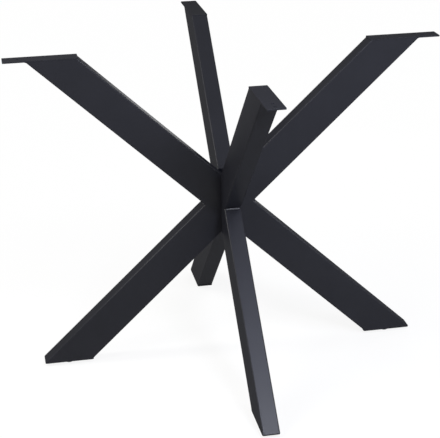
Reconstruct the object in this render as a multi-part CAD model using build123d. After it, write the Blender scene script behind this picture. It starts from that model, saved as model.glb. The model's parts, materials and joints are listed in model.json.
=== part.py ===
from build123d import *
import os
from math import hypot, sqrt

# Whole base, standing on the floor with its centre over the origin
base_height = 720.0  # floor to the underside of the table top
hub_height = 365.0  # floor to the point where the legs' centre lines cross
foot_span = 870.0  # across two opposite feet, outside to outside

# Steel tube, one size for every leg
tube_broad = 76.0  # side that lies in the plane of a pair of legs
tube_narrow = 38.0
tube_wall = 2.0
tube_corner = 3.0  # outside radius

# Mounting plate on the upper end of each leg
top_plate_thick = 3.0
top_plate_reach = 48.0  # beyond the outer side of the tube
top_plate_corner = 2.0
screw_hole = 6.5  # diameter, for 6 mm screws
screw_edge = 14.0  # outer end of the plate to the outer hole
screw_pitch = 20.0  # outer hole to inner hole

# Closing plate under each leg, with a welded nut on its upper side
foot_plate_thick = 3.0
glide_thread = 8.0
glide_hole_clearance = 0.2  # all round the stud
glide_nut_flats = 13.0
glide_nut_height = 6.5

# Levelling glide, a hexagon bolt with a plastic pad moulded round its head
pad_diameter = 18.0
pad_thick = 4.5
pad_neck_flats = 13.0
pad_neck_height = 2.5
stud_head_flats = 10.0
stud_head_thick = 2.5
stud_head_lift = 1.5  # plastic left below the head
stud_above_nut = 5.0

# Hook joint between the full cross and each half cross, with two hexagon bolts as studs
joint_plate_thick = 5.0
hook_pitch = 40.0  # between the two studs of a joint
hook_travel = 12.0  # a half cross drops this far to lock
hook_thread = 10.0
hook_head_flats = 16.0
hook_head_thick = 6.4
hook_slot_clearance = 0.2  # all round the shank
hook_head_clearance = 0.5  # round the corners of the head in the entry hole
hook_wall_clearance = 0.3  # between the head and the tube wall
hook_nut_flats = 16.0
hook_nut_height = 8.0
hook_end_past_nut = 1.5

thread_clearance = 0.1  # all round a stud in its nut or its pad

# Levels and runs that follow from the sizes above
pad_height = pad_thick + pad_neck_height
tube_bottom = pad_height + foot_plate_thick
tube_top = base_height - top_plate_thick
half_broad = tube_broad / 2
half_narrow = tube_narrow / 2
half_span = foot_span / 2
drop = hub_height - tube_bottom
lift = tube_top - hub_height

# Sideways run of a leg for each unit of height, so that its foot reaches the span
reach_root = sqrt(half_span**2 + drop**2 - half_broad**2)
slope = (half_span * drop - half_broad * reach_root) / (drop**2 - half_broad**2)
stretch = hypot(1, slope)
half_cut = half_broad * stretch  # half the length of a level cut through a leg
foot_run = slope * drop
top_run = slope * lift
bar_reach = base_height * stretch

# Headings of the four legs' ends, in degrees about the vertical
headings = {"right": 0, "back": 90, "left": 180, "front": 270}


def write(shape, node):
    export_step(shape, f"parts/{node}.step")


def turned(shape, heading):
    return Rot(0, 0, heading) * shape


def above(shape, level):
    return split(shape, bisect_by=Plane.XY.offset(level), keep=Keep.TOP)


def below(shape, level):
    return split(shape, bisect_by=Plane.XY.offset(level), keep=Keep.BOTTOM)


def beyond(shape, run):
    return split(shape, bisect_by=Plane.YZ.offset(run), keep=Keep.TOP)


# Solid bar through the hub, leaning towards +X for a side of 1 and -X for a side of -1
def bar(side, inset=0.0):
    middle = Plane(origin=(0, 0, hub_height), x_dir=(0, 1, 0), z_dir=(side * slope, 0, 1))
    width = tube_narrow - 2 * inset
    depth = tube_broad - 2 * inset
    outline = RectangleRounded(width, depth, tube_corner - inset)
    return extrude(middle * outline, bar_reach, both=True)


# Endless tube through the hub
def tube(side):
    return bar(side) - bar(side, tube_wall)


# Hexagon standing on the XY plane, for a nut, a bolt's head or a neck
def hexagon(flats, height):
    return extrude(RegularPolygon(flats / 2, 6, major_radius=False), height)


def nut(flats, height, thread):
    return hexagon(flats, height) - Cylinder(thread / 2 + thread_clearance, 4 * height)


# Pair of keyholes, drawn on an upright plane and cut through both broad walls
def keyholes():
    slot_radius = hook_thread / 2 + hook_slot_clearance
    entry_radius = hook_head_flats / sqrt(3) + hook_head_clearance
    entry = Pos(0, hook_travel) * Circle(entry_radius)
    slot = Pos(0, hook_travel / 2) * Rectangle(2 * slot_radius, hook_travel)
    outline = entry + slot + Circle(slot_radius)
    upright = Plane(origin=(0, 0, hub_height), x_dir=(1, 0, 0), z_dir=(0, -1, 0))
    cutter = extrude(upright * outline, tube_narrow, both=True)
    return [Pos(0, 0, z) * cutter for z in (-hook_pitch / 2, hook_pitch / 2)]


# Bolt lying along +X, its head held off the YZ plane by the tube wall that it hooks behind
def hook_stud():
    stand_off = tube_wall + hook_wall_clearance
    shank = stand_off + joint_plate_thick + hook_nut_height + hook_end_past_nut
    bolt = hexagon(hook_head_flats, hook_head_thick)
    bolt += Pos(0, 0, hook_head_thick) * extrude(Circle(hook_thread / 2), shank)
    return Pos(-stand_off - hook_head_thick, 0, 0) * Rot(0, 90, 0) * bolt


# The full cross, one long tube with a short tube welded to each side of it
def full_cross():
    long_tube = below(above(tube(-1), tube_bottom), tube_top) - keyholes()
    short_tubes = below(above(tube(1), tube_bottom), tube_top) - bar(-1)
    lower, upper = short_tubes.solids().sort_by(Axis.Z)
    write(long_tube, "cross_long_tube")
    write(upper, "cross_upper_tube")
    write(lower, "cross_lower_tube")


# A half cross that reaches towards +X, with its end plate and hook studs
def half_cross(name, heading):
    seat = half_narrow + joint_plate_thick
    upper = beyond(below(above(tube(1), hub_height), tube_top), seat)
    lower = beyond(above(below(tube(-1), hub_height), tube_bottom), seat)
    stud_spots = [Pos(half_narrow, 0, hub_height + z) for z in (-hook_pitch / 2, hook_pitch / 2)]
    joined_bars = above(bar(1), hub_height) + below(bar(-1), hub_height)
    hole = Rot(0, 90, 0) * Cylinder(hook_thread / 2 + thread_clearance, 4 * joint_plate_thick)
    plate = beyond(joined_bars, half_narrow) - beyond(joined_bars, seat)
    plate -= [spot * hole for spot in stud_spots]
    studs = [spot * hook_stud() for spot in stud_spots]
    hook_nut = Rot(0, 90, 0) * nut(hook_nut_flats, hook_nut_height, hook_thread)
    nuts = [spot * Pos(joint_plate_thick, 0, 0) * hook_nut for spot in stud_spots]
    write(turned(upper, heading), f"{name}_upper_tube")
    write(turned(lower, heading), f"{name}_lower_tube")
    write(turned(plate, heading), f"{name}_joint_plate")
    write(turned(Compound(studs), heading), f"{name}_hook_studs")
    write(turned(Compound(nuts), heading), f"{name}_hook_nuts")


# Plate that the table top is screwed to, flush with the inner side of its leg
def top_plate():
    length = 2 * half_cut + top_plate_reach
    outer_end = top_run + half_cut + top_plate_reach
    outline = Pos(outer_end - length / 2, 0) * RectangleRounded(length, tube_narrow, top_plate_corner)
    for setback in (screw_edge, screw_edge + screw_pitch):
        outline -= Pos(outer_end - setback, 0) * Circle(screw_hole / 2)
    return Pos(0, 0, tube_top) * extrude(outline, top_plate_thick)


# Plate that closes the lower end of a leg, with the outline of the tube's cut
def foot_plate():
    cut = below(above(bar(-1), tube_bottom), hub_height).faces().sort_by(Axis.Z)[0]
    hole = Pos(foot_run, 0, tube_bottom) * Cylinder(
        glide_thread / 2 + glide_hole_clearance, 4 * foot_plate_thick
    )
    return extrude(cut, foot_plate_thick, dir=(0, 0, -1)) - hole


def foot_nut():
    return Pos(foot_run, 0, tube_bottom) * nut(glide_nut_flats, glide_nut_height, glide_thread)


def glide_stud():
    top = tube_bottom + glide_nut_height + stud_above_nut
    shank = extrude(Circle(glide_thread / 2), top - stud_head_lift)
    return Pos(foot_run, 0, stud_head_lift) * (hexagon(stud_head_flats, stud_head_thick) + shank)


def glide_pad():
    disc = extrude(Circle(pad_diameter / 2), pad_thick)
    neck = Pos(0, 0, pad_thick) * hexagon(pad_neck_flats, pad_neck_height)
    pocket = hexagon(stud_head_flats + 2 * thread_clearance, stud_head_thick)
    bore = extrude(Circle(glide_thread / 2 + thread_clearance), pad_height)
    return Pos(foot_run, 0, 0) * (disc + neck - Pos(0, 0, stud_head_lift) * (pocket + bore))


os.makedirs("parts", exist_ok=True)
full_cross()
half_cross("front_half", headings["front"])
half_cross("back_half", headings["back"])
for side_name, heading in headings.items():
    write(turned(top_plate(), heading), f"{side_name}_top_plate")
    write(turned(foot_plate(), heading), f"{side_name}_foot_plate")
    write(turned(foot_nut(), heading), f"{side_name}_foot_nut")
    write(turned(glide_stud(), heading), f"{side_name}_glide_stud")
    write(turned(glide_pad(), heading), f"{side_name}_glide_pad")
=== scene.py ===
import json
from math import cos, pi, radians, sin

import bmesh
import bpy
from mathutils import Matrix, Vector


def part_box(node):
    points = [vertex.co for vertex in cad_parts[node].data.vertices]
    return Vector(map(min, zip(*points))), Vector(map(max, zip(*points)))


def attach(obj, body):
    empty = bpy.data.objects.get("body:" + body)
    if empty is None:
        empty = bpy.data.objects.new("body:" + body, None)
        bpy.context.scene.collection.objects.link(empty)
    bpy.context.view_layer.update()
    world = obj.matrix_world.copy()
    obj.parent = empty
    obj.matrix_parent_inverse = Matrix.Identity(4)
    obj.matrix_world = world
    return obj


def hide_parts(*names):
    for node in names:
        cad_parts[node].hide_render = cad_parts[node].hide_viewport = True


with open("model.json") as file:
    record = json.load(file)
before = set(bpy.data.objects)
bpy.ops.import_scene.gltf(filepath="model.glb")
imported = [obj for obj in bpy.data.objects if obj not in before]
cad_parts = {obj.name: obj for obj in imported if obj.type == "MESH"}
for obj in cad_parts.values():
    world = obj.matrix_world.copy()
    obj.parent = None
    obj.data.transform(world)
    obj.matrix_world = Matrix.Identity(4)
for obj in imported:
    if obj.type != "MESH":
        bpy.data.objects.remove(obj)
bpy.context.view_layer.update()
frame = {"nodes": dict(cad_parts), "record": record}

print("frame loaded,", len(frame["nodes"]), "nodes")

sides = {"right": 0, "back": 90, "left": 180, "front": 270}  # heading of each leg, in degrees
halves = ("back_half", "front_half")
noiseFrom, noiseTo = 0.3, 0.7  # nearly all of a noise's values lie between these


# Small helpers for the materials
def startMaterial(name):
    material = bpy.data.materials.new(name)
    material.use_nodes = True
    tree = material.node_tree
    shader = tree.nodes["Principled BSDF"]
    place = tree.nodes.new("ShaderNodeTexCoord").outputs["Object"]
    return material, tree, shader, place


def noiseOver(tree, place, size, detail):
    noise = tree.nodes.new("ShaderNodeTexNoise")
    noise.inputs["Scale"].default_value = 1 / size
    noise.inputs["Detail"].default_value = detail
    tree.links.new(place, noise.inputs["Vector"])
    return noise.outputs["Fac"]


def spread(tree, value, low, high):
    stretch = tree.nodes.new("ShaderNodeMapRange")
    stretch.inputs["From Min"].default_value = noiseFrom
    stretch.inputs["From Max"].default_value = noiseTo
    stretch.inputs["To Min"].default_value = low
    stretch.inputs["To Max"].default_value = high
    tree.links.new(value, stretch.inputs["Value"])
    return stretch.outputs["Result"]


def blended(tree, value, colourA, colourB):
    ramp = tree.nodes.new("ShaderNodeValToRGB")
    ramp.color_ramp.elements[0].position = noiseFrom
    ramp.color_ramp.elements[1].position = noiseTo
    ramp.color_ramp.elements[0].color = (*colourA, 1)
    ramp.color_ramp.elements[1].color = (*colourB, 1)
    tree.links.new(value, ramp.inputs["Fac"])
    return ramp.outputs["Color"]


def bumped(tree, height, depth, strength, under=None):
    bump = tree.nodes.new("ShaderNodeBump")
    bump.inputs["Distance"].default_value = depth
    bump.inputs["Strength"].default_value = strength
    tree.links.new(height, bump.inputs["Height"])
    if under:
        tree.links.new(under, bump.inputs["Normal"])
    return bump.outputs["Normal"]


# Black powder coat: a slow wander of shade and gloss, a fine grain and a soft orange peel.
# The clear outer skin gives all of its gloss, so that faces seen edge-on stay dark.
powderCoat = {
    "shadeLow": (0.0108, 0.0112, 0.0146),
    "shadeHigh": (0.0128, 0.0132, 0.0170),
    "shadeSize": 0.09,
    "shadeDetail": 3,
    "roughLow": 0.52,
    "roughHigh": 0.68,
    "roughSize": 0.03,
    "roughDetail": 3,
    "glaze": 0.065,  # weight of the clear outer skin
    "glazeIndex": 2.5,
    "glazeRoughness": 0.33,
    "grainSize": 0.0007,
    "grainDetail": 2,
    "grainDepth": 0.00002,
    "grainStrength": 0.5,
    "peelSize": 0.0035,
    "peelDetail": 1,
    "peelDepth": 0.00003,
    "peelStrength": 0.6,
}


def makePowderCoat():
    p = powderCoat
    material, tree, shader, place = startMaterial("powder coat")
    shade = noiseOver(tree, place, p["shadeSize"], p["shadeDetail"])
    tree.links.new(blended(tree, shade, p["shadeLow"], p["shadeHigh"]), shader.inputs["Base Color"])
    rough = noiseOver(tree, place, p["roughSize"], p["roughDetail"])
    tree.links.new(spread(tree, rough, p["roughLow"], p["roughHigh"]), shader.inputs["Roughness"])
    shader.inputs["Specular IOR Level"].default_value = 0
    shader.inputs["Coat Weight"].default_value = p["glaze"]
    shader.inputs["Coat IOR"].default_value = p["glazeIndex"]
    shader.inputs["Coat Roughness"].default_value = p["glazeRoughness"]
    peelNoise = noiseOver(tree, place, p["peelSize"], p["peelDetail"])
    peel = bumped(tree, peelNoise, p["peelDepth"], p["peelStrength"])
    grainNoise = noiseOver(tree, place, p["grainSize"], p["grainDetail"])
    grain = bumped(tree, grainNoise, p["grainDepth"], p["grainStrength"], peel)
    for skin in ("Normal", "Coat Normal"):
        tree.links.new(grain, shader.inputs[skin])
    return material


# Bright zinc on the bolts and nuts: crystal cloud and fine scratches
zincPlate = {
    "shadeLow": (0.50, 0.51, 0.53),
    "shadeHigh": (0.68, 0.68, 0.66),
    "cloudSize": 0.004,
    "cloudDetail": 4,
    "roughLow": 0.24,
    "roughHigh": 0.42,
    "scratchSize": 0.0006,
    "scratchDetail": 3,
    "scratchDepth": 0.00001,
    "scratchStrength": 0.4,
}


def makeZincPlate():
    z = zincPlate
    material, tree, shader, place = startMaterial("zinc plate")
    cloud = noiseOver(tree, place, z["cloudSize"], z["cloudDetail"])
    tree.links.new(blended(tree, cloud, z["shadeLow"], z["shadeHigh"]), shader.inputs["Base Color"])
    tree.links.new(spread(tree, cloud, z["roughLow"], z["roughHigh"]), shader.inputs["Roughness"])
    shader.inputs["Metallic"].default_value = 1.0
    scratchNoise = noiseOver(tree, place, z["scratchSize"], z["scratchDetail"])
    scratch = bumped(tree, scratchNoise, z["scratchDepth"], z["scratchStrength"])
    tree.links.new(scratch, shader.inputs["Normal"])
    return material


# Moulded black plastic under the feet, matt with a spark-eroded grain
glidePlastic = {
    "shadeLow": (0.016, 0.016, 0.017),
    "shadeHigh": (0.024, 0.024, 0.025),
    "shadeSize": 0.006,
    "shadeDetail": 3,
    "roughLow": 0.5,
    "roughHigh": 0.64,
    "grainSize": 0.0005,
    "grainDetail": 2,
    "grainDepth": 0.00003,
    "grainStrength": 0.6,
}


def makeGlidePlastic():
    g = glidePlastic
    material, tree, shader, place = startMaterial("glide plastic")
    shade = noiseOver(tree, place, g["shadeSize"], g["shadeDetail"])
    tree.links.new(blended(tree, shade, g["shadeLow"], g["shadeHigh"]), shader.inputs["Base Color"])
    tree.links.new(spread(tree, shade, g["roughLow"], g["roughHigh"]), shader.inputs["Roughness"])
    grainNoise = noiseOver(tree, place, g["grainSize"], g["grainDetail"])
    grain = bumped(tree, grainNoise, g["grainDepth"], g["grainStrength"])
    tree.links.new(grain, shader.inputs["Normal"])
    return material


finishes = {
    "powder_coat": makePowderCoat(),
    "zinc_plate": makeZincPlate(),
    "glide_plastic": makeGlidePlastic(),
}
slotOf = {part["node"]: part["material_slot"] for part in frame["record"]["subparts"]}
for nodeName, node in frame["nodes"].items():
    node.data.materials.clear()
    node.data.materials.append(finishes[slotOf[nodeName]])
print("finishes made")


# Turns a bmesh into a finished piece, shaded smooth over edges of up to smoothTo degrees
def finishPiece(bm, name, slot, smoothTo):
    bmesh.ops.recalc_face_normals(bm, faces=bm.faces)
    mesh = bpy.data.meshes.new(name)
    bm.to_mesh(mesh)
    bm.free()
    mesh.shade_smooth()
    mesh.set_sharp_from_angle(angle=radians(smoothTo))
    mesh.materials.append(finishes[slot])
    piece = bpy.data.objects.new(name, mesh)
    bpy.context.scene.collection.objects.link(piece)
    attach(piece, "root")
    return piece


# Plates: the frame's own plates with their cut edges rounded as the coat rounds them
plateEdges = {
    "top": 0.0005,
    "foot": 0.0005,
    "joint": 0.0007,
    "segments": 3,
    "sharpFrom": 40,  # degrees between two faces, from which their edge is rounded
    "smoothTo": 50,
    "mergeWithin": 0.000001,
    "flatWithin": 1,  # degrees, for triangles that make one flat face
}


def softenedPlate(nodeName, edgeWidth):
    bm = bmesh.new()
    bm.from_mesh(frame["nodes"][nodeName].data)
    bmesh.ops.remove_doubles(bm, verts=bm.verts, dist=plateEdges["mergeWithin"])
    bmesh.ops.dissolve_limit(bm, angle_limit=radians(plateEdges["flatWithin"]), verts=bm.verts,
                             edges=bm.edges)
    sharp = [edge for edge in bm.edges if edge.calc_face_angle(0) > radians(plateEdges["sharpFrom"])]
    bmesh.ops.bevel(bm, geom=sharp, offset=edgeWidth, offset_type="OFFSET", affect="EDGES",
                    segments=plateEdges["segments"], profile=0.5, material=-1, clamp_overlap=True)
    piece = finishPiece(bm, nodeName + "_soft", "powder_coat", plateEdges["smoothTo"])
    weighted = piece.modifiers.new("weighted normals", "WEIGHTED_NORMAL")
    weighted.keep_sharp = True
    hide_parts(nodeName)


for side in sides:
    softenedPlate(side + "_top_plate", plateEdges["top"])
    softenedPlate(side + "_foot_plate", plateEdges["foot"])
for half in halves:
    softenedPlate(half + "_joint_plate", plateEdges["joint"])
print("plates rounded")


# Glide pads: a moulded disc with rounded rims under a hexagonal neck
glidePad = {
    "rim": 0.0011,
    "rimSteps": 5,
    "turns": 64,
    "neckFlats": 0.013,  # across the flats of the hexagon
    "neckHeight": 0.0025,
    "neckEdge": 0.0005,
    "neckEdgeSteps": 2,
    "sink": 0.0003,  # of the neck into the disc
    "smoothTo": 35,
    "mergeWithin": 0.0000001,
}


def makeGlidePad(side):
    low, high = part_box(side + "_glide_pad")
    middle = (low + high) / 2
    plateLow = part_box(side + "_foot_plate")[0].z
    radius = (high.x - low.x) / 2
    discTop = plateLow - glidePad["neckHeight"]
    rim = glidePad["rim"]

    # Disc, spun from half of its section
    bm = bmesh.new()
    profile = [bm.verts.new((0, 0, 0))]
    for level, start in ((rim, -90), (discTop - rim, 0)):
        for step in range(glidePad["rimSteps"] + 1):
            angle = radians(start + 90 * step / glidePad["rimSteps"])
            profile.append(bm.verts.new((radius - rim + rim * cos(angle), 0, level + rim * sin(angle))))
    profile.append(bm.verts.new((0, 0, discTop)))
    outline = [bm.edges.new(pair) for pair in zip(profile, profile[1:])]
    bmesh.ops.spin(bm, geom=profile + outline, cent=(0, 0, 0), axis=(0, 0, 1), angle=2 * pi,
                   steps=glidePad["turns"], use_merge=True)
    bmesh.ops.remove_doubles(bm, verts=bm.verts, dist=glidePad["mergeWithin"])

    # Neck, which ends under the foot plate
    neck = bmesh.new()
    cornerRadius = glidePad["neckFlats"] / 3 ** 0.5
    bmesh.ops.create_circle(neck, cap_ends=True, segments=6, radius=cornerRadius)
    grown = bmesh.ops.extrude_face_region(neck, geom=neck.faces[:])
    lifted = [item for item in grown["geom"] if isinstance(item, bmesh.types.BMVert)]
    bmesh.ops.translate(neck, verts=lifted, vec=(0, 0, glidePad["neckHeight"] + glidePad["sink"]))
    bmesh.ops.recalc_face_normals(neck, faces=neck.faces)
    bmesh.ops.bevel(neck, geom=neck.edges[:], offset=glidePad["neckEdge"], affect="EDGES",
                    segments=glidePad["neckEdgeSteps"], profile=0.5, material=-1)
    bmesh.ops.translate(neck, verts=neck.verts, vec=(0, 0, discTop - glidePad["sink"]))
    carrier = bpy.data.meshes.new("neck")
    neck.to_mesh(carrier)
    neck.free()
    bm.from_mesh(carrier)
    bpy.data.meshes.remove(carrier)

    heading = Matrix.Rotation(radians(sides[side]), 3, "Z")
    bmesh.ops.rotate(bm, verts=bm.verts, cent=(0, 0, 0), matrix=heading)
    bmesh.ops.translate(bm, verts=bm.verts, vec=(middle.x, middle.y, low.z))
    piece = finishPiece(bm, side + "_pad_moulding", "glide_plastic", glidePad["smoothTo"])
    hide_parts(side + "_glide_pad")


for side in sides:
    makeGlidePad(side)
print("glide pads made")


# Where the tubes' edges cross, read from the frame
footLow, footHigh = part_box("right_foot_plate")
halfCut = (footHigh.x - footLow.x) / 2  # half of a level cut through a tube
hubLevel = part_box("front_half_lower_tube")[1].z
lean = (footHigh.x + footLow.x) / 2 / (hubLevel - footHigh.z)  # run for each unit of height
crotchRise = halfCut / lean
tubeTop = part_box("right_top_plate")[0].z
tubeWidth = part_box("cross_long_tube")[1].y * 2
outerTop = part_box("cross_upper_tube")[1].x

# Weld beads: round ones in the four crotches of the full cross, and flat ones across the half
# crosses' seam at the hub and under the plates' overhangs
weldBead = {
    "cornerRadius": 0.0036,
    "cornerOut": 0.4,  # share of the radius, from the corner out to the bead's middle
    "seamRadius": 0.0044,
    "seamFlatness": 0.4,  # depth as a share of the width
    "seamTilt": 31,  # degrees up from level
    "seamDown": 0.0006,  # along the leg, from the corner
    "plateRadius": 0.0044,
    "plateFlatness": 0.4,
    "plateOutward": (0.37, 0, -0.93),  # halves the corner under the overhang
    "shortOfEdge": 0.0022,  # left bare at each end
    "around": 16,
    "pitch": 0.0023,  # length of one ripple
    "stepsPerRipple": 6,
    "ripple": 0.03,  # depth of a ripple as a share of the radius
    "endTaper": 0.0025,
    "endStart": 0.1,
    "smoothTo": 60,
}


def makeWeldBead(name, middle, along, outward, radius, flatness=1.0):
    w = weldBead
    length = tubeWidth - 2 * w["shortOfEdge"]
    bm = bmesh.new()
    bmesh.ops.create_cone(bm, cap_ends=True, segments=w["around"], radius1=radius, radius2=radius,
                          depth=length)
    lengthwise = [edge for edge in bm.edges if abs(edge.verts[0].co.z - edge.verts[1].co.z) > length / 2]
    cuts = round(length / w["pitch"] * w["stepsPerRipple"])
    bmesh.ops.subdivide_edges(bm, edges=lengthwise, cuts=cuts)
    for vert in bm.verts:
        fromEnd = length / 2 - abs(vert.co.z)
        ripple = 1 - w["ripple"] * (1 - abs(sin(pi * vert.co.z / w["pitch"])))
        taper = min(1, w["endStart"] + fromEnd / w["endTaper"]) ** 0.5
        vert.co.xy *= ripple * taper
        vert.co.x *= flatness
    out, run = Vector(outward).normalized(), Vector(along)
    turn = Matrix((out, run.cross(out), run)).transposed().to_4x4()
    bmesh.ops.transform(bm, matrix=Matrix.Translation(middle) @ turn, verts=bm.verts)
    finishPiece(bm, name, "powder_coat", w["smoothTo"])


for crotch, x, z in (("upper", 0, 1), ("lower", 0, -1), ("right", 1, 0), ("left", -1, 0)):
    outward = Vector((x, 0, z))
    corner = Vector((x * halfCut, 0, hubLevel + z * crotchRise))
    middle = corner + outward * weldBead["cornerRadius"] * weldBead["cornerOut"]
    makeWeldBead("cross_weld_" + crotch, middle, (0, 1, 0), outward, weldBead["cornerRadius"])
tilt = radians(weldBead["seamTilt"])
for half, y in (("front_half", -1), ("back_half", 1)):
    down = Vector((0, y * lean, -1)).normalized() * weldBead["seamDown"]
    middle = Vector((0, y * halfCut, hubLevel)) + down
    outward = (0, y * cos(tilt), sin(tilt))
    makeWeldBead(half + "_weld", middle, (1, 0, 0), outward, weldBead["seamRadius"],
                 weldBead["seamFlatness"])
for side, heading in sides.items():
    turn = Matrix.Rotation(radians(heading), 3, "Z")
    corner = turn @ Vector((outerTop, 0, tubeTop))
    across = turn @ Vector((0, 1, 0))
    outward = turn @ Vector(weldBead["plateOutward"])
    makeWeldBead(side + "_plate_weld", corner, across, outward, weldBead["plateRadius"],
                 weldBead["plateFlatness"])
print("welds made")


# Camera at the photograph's place
shot = {
    "place": (-0.52520, -2.69123, 1.40537),
    "yaw": 10.6596,  # degrees to the right of straight ahead
    "pitch": -21.6196,
    "roll": -0.9489,
    "lens": 105.95,  # millimetres, with the sensor's width
    "sensor": 36,
}


def placeCamera():
    yaw, pitch, roll = (radians(shot[key]) for key in ("yaw", "pitch", "roll"))
    ahead = Vector((sin(yaw) * cos(pitch), cos(yaw) * cos(pitch), sin(pitch)))
    level = Vector((cos(yaw), -sin(yaw), 0))
    upright = level.cross(ahead)
    across = level * cos(roll) + upright * sin(roll)
    above = upright * cos(roll) - level * sin(roll)
    camera = bpy.data.objects.new("camera", bpy.data.cameras.new("camera"))
    camera.data.sensor_width = shot["sensor"]
    camera.data.lens = shot["lens"]
    turned = Matrix((across, above, -ahead)).transposed().to_4x4()
    camera.matrix_world = Matrix.Translation(shot["place"]) @ turned
    bpy.context.scene.collection.objects.link(camera)
    bpy.context.scene.camera = camera


placeCamera()
print("camera placed")


# Floor and surroundings: white to the camera and in reflections, with the object's soft shadow kept
surround = {
    "floorSize": 24,
    "floorColour": (0.82, 0.82, 0.82),
    "glowNear": 0.88,  # share of plain white in the floor around the object
    "glowFar": 0.995,
    "near": 0.4,  # distances between which the share of white grows
    "far": 1.15,
    "ambient": 0.12,  # even light of the room on the object
}


# 1 for what the camera, a reflection or a clear pane shows, and 0 for light on the object
def seenDirectly(tree):
    path = tree.nodes.new("ShaderNodeLightPath")
    total = path.outputs["Is Camera Ray"]
    for kind in ("Is Glossy Ray", "Is Transmission Ray"):
        add = tree.nodes.new("ShaderNodeMath")
        add.operation = "MAXIMUM"
        tree.links.new(total, add.inputs[0])
        tree.links.new(path.outputs[kind], add.inputs[1])
        total = add.outputs[0]
    return total


def makeFloor():
    bm = bmesh.new()
    bmesh.ops.create_grid(bm, x_segments=1, y_segments=1, size=surround["floorSize"] / 2)
    mesh = bpy.data.meshes.new("floor")
    bm.to_mesh(mesh)
    bm.free()
    floor = bpy.data.objects.new("floor", mesh)
    bpy.context.scene.collection.objects.link(floor)
    material = bpy.data.materials.new("floor")
    material.use_nodes = True
    tree = material.node_tree
    tree.nodes.clear()
    output = tree.nodes.new("ShaderNodeOutputMaterial")
    paper = tree.nodes.new("ShaderNodeBsdfDiffuse")
    paper.inputs["Color"].default_value = (*surround["floorColour"], 1)
    glow = tree.nodes.new("ShaderNodeEmission")
    glow.inputs["Strength"].default_value = 1.0
    mix = tree.nodes.new("ShaderNodeMixShader")
    distance = tree.nodes.new("ShaderNodeVectorMath")
    distance.operation = "LENGTH"
    tree.links.new(tree.nodes.new("ShaderNodeTexCoord").outputs["Object"], distance.inputs[0])
    fade = tree.nodes.new("ShaderNodeMapRange")
    fade.interpolation_type = "SMOOTHSTEP"
    fade.inputs["From Min"].default_value = surround["near"]
    fade.inputs["From Max"].default_value = surround["far"]
    fade.inputs["To Min"].default_value = surround["glowNear"]
    fade.inputs["To Max"].default_value = surround["glowFar"]
    tree.links.new(distance.outputs["Value"], fade.inputs["Value"])
    share = tree.nodes.new("ShaderNodeMath")
    share.operation = "MULTIPLY"
    tree.links.new(fade.outputs["Result"], share.inputs[1])
    tree.links.new(seenDirectly(tree), share.inputs[0])
    tree.links.new(share.outputs[0], mix.inputs["Fac"])
    tree.links.new(paper.outputs[0], mix.inputs[1])
    tree.links.new(glow.outputs[0], mix.inputs[2])
    tree.links.new(mix.outputs[0], output.inputs["Surface"])
    mesh.materials.append(material)


def makeWorld():
    world = bpy.data.worlds.new("surroundings")
    bpy.context.scene.world = world
    world.use_nodes = True
    tree = world.node_tree
    tree.nodes.clear()
    output = tree.nodes.new("ShaderNodeOutputWorld")
    room = tree.nodes.new("ShaderNodeBackground")
    room.inputs["Strength"].default_value = surround["ambient"]
    white = tree.nodes.new("ShaderNodeBackground")
    white.inputs["Strength"].default_value = 1.0
    for background in (room, white):
        background.inputs["Color"].default_value = (1, 1, 1, 1)
    mix = tree.nodes.new("ShaderNodeMixShader")
    tree.links.new(seenDirectly(tree), mix.inputs["Fac"])
    tree.links.new(room.outputs[0], mix.inputs[1])
    tree.links.new(white.outputs[0], mix.inputs[2])
    tree.links.new(mix.outputs[0], output.inputs["Surface"])


makeFloor()
makeWorld()


# Soft studio lamps, each a panel aimed at the middle of the base. Turn and rise are in degrees,
# and turn 0 is in front and 90 on the right.
lampAim = (0, 0, 0.36)
lamps = {
    "key": {"turn": 18, "rise": 49, "away": 1.6, "size": (0.5, 0.5), "watts": 8,
            "tint": (0.73, 0.78, 1.0)},
    "front fill": {"turn": 13, "rise": 34, "away": 1.6, "size": (0.3, 0.3), "watts": 16.5,
                   "tint": (0.85, 0.88, 1.0)},
    "right fill": {"turn": 58, "rise": 15, "away": 1.5, "size": (0.4, 0.4), "watts": 8,
                   "tint": (0.90, 0.93, 1.0)},
    "left fill": {"turn": -62, "rise": 34, "away": 1.5, "size": (0.25, 0.9), "watts": 8,
                  "tint": (1.0, 0.98, 0.93)},
    "left edge": {"turn": -95, "rise": 40, "away": 1.5, "size": (0.25, 0.9), "watts": 16.5,
                  "tint": (1.0, 0.98, 0.91)},
    "back": {"turn": 125, "rise": 35, "away": 2.4, "size": (0.9, 0.9), "watts": 9,
             "tint": (1, 1, 1)},
    "back fill": {"turn": 160, "rise": 4, "away": 1.7, "size": (0.6, 0.6), "watts": 13,
                  "tint": (1, 1, 1)},
}


def placeLamps():
    aim = Vector(lampAim)
    for name, lamp in lamps.items():
        turn, rise = radians(lamp["turn"]), radians(lamp["rise"])
        out = Vector((sin(turn) * cos(rise), -cos(turn) * cos(rise), sin(rise)))
        panel = bpy.data.lights.new(name, "AREA")
        panel.shape = "RECTANGLE"
        panel.size, panel.size_y = lamp["size"]
        panel.energy = lamp["watts"]
        panel.color = lamp["tint"]
        holder = bpy.data.objects.new(name, panel)
        turned = out.to_track_quat("Z", "Y").to_matrix().to_4x4()
        holder.matrix_world = Matrix.Translation(aim + out * lamp["away"]) @ turned
        bpy.context.scene.collection.objects.link(holder)


placeLamps()
print("stage and light set")

bpy.context.scene.view_settings.view_transform = "Standard"
